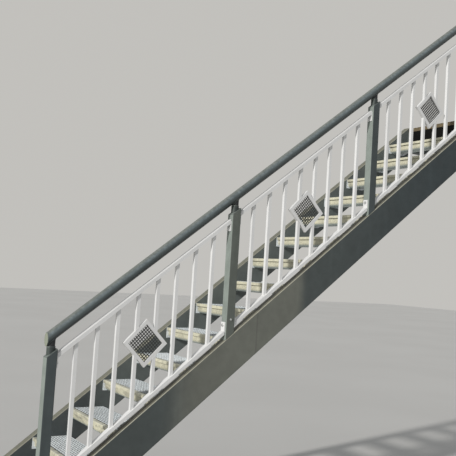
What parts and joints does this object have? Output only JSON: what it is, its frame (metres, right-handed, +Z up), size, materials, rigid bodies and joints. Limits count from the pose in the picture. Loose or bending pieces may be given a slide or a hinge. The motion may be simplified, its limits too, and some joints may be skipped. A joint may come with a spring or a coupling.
{
  "type": "outdoor steel stair with landing",
  "caption": "Straight outdoor steel stair: box stringers, grating treads, a landing on columns, and a balustrade of white bars with perforated diamonds under a round handrail.",
  "frame": {"origin": "middle of the footprint, on the ground, under the middle of the stair's width", "axes": "+X up the flight, +Z up, -Y towards the side with the balustrade"},
  "size_m": [4.8194, 0.952, 3.8695],
  "materials": {
    "anthracite_paint": "semi-matt paint over galvanised steel, blue-grey",
    "galvanised_steel": "weathered hot-dip galvanised",
    "white_paint": "glossy white paint",
    "sheet_grey": "dark grey perforated sheet"
  },
  "bodies": {
    "root": {"near_stringer": "anthracite_paint", "far_stringer": "anthracite_paint", "foot_plates": "anthracite_paint", "tread_01": "galvanised_steel", "tread_02": "galvanised_steel", "tread_03": "galvanised_steel", "tread_04": "galvanised_steel", "tread_05": "galvanised_steel", "tread_06": "galvanised_steel", "tread_07": "galvanised_steel", "tread_08": "galvanised_steel", "tread_09": "galvanised_steel", "tread_10": "galvanised_steel", "tread_11": "galvanised_steel", "tread_12": "galvanised_steel", "tread_13": "galvanised_steel", "tread_14": "galvanised_steel", "tread_15": "galvanised_steel", "tread_16": "galvanised_steel", "landing_near_beam": "anthracite_paint", "landing_far_beam": "anthracite_paint", "landing_head_beam": "anthracite_paint", "landing_end_beam": "anthracite_paint", "grating_ledgers": "anthracite_paint", "landing_grating_front": "galvanised_steel", "landing_grating_back": "galvanised_steel", "near_column": "anthracite_paint", "far_column": "anthracite_paint", "post_1": "anthracite_paint", "post_2": "anthracite_paint", "post_3": "anthracite_paint", "post_4": "anthracite_paint", "landing_corner_post": "anthracite_paint", "landing_wall_post": "anthracite_paint", "flight_handrail": "anthracite_paint", "landing_handrail": "anthracite_paint", "end_handrail": "anthracite_paint", "handrail_stubs": "anthracite_paint", "handrail_caps": "anthracite_paint", "flight_panel_1": "white_paint", "flight_panel_2": "white_paint", "flight_panel_3": "white_paint", "landing_panel": "white_paint", "end_panel": "white_paint", "perforated_sheets": "sheet_grey"}
  },
  "joints": []
}
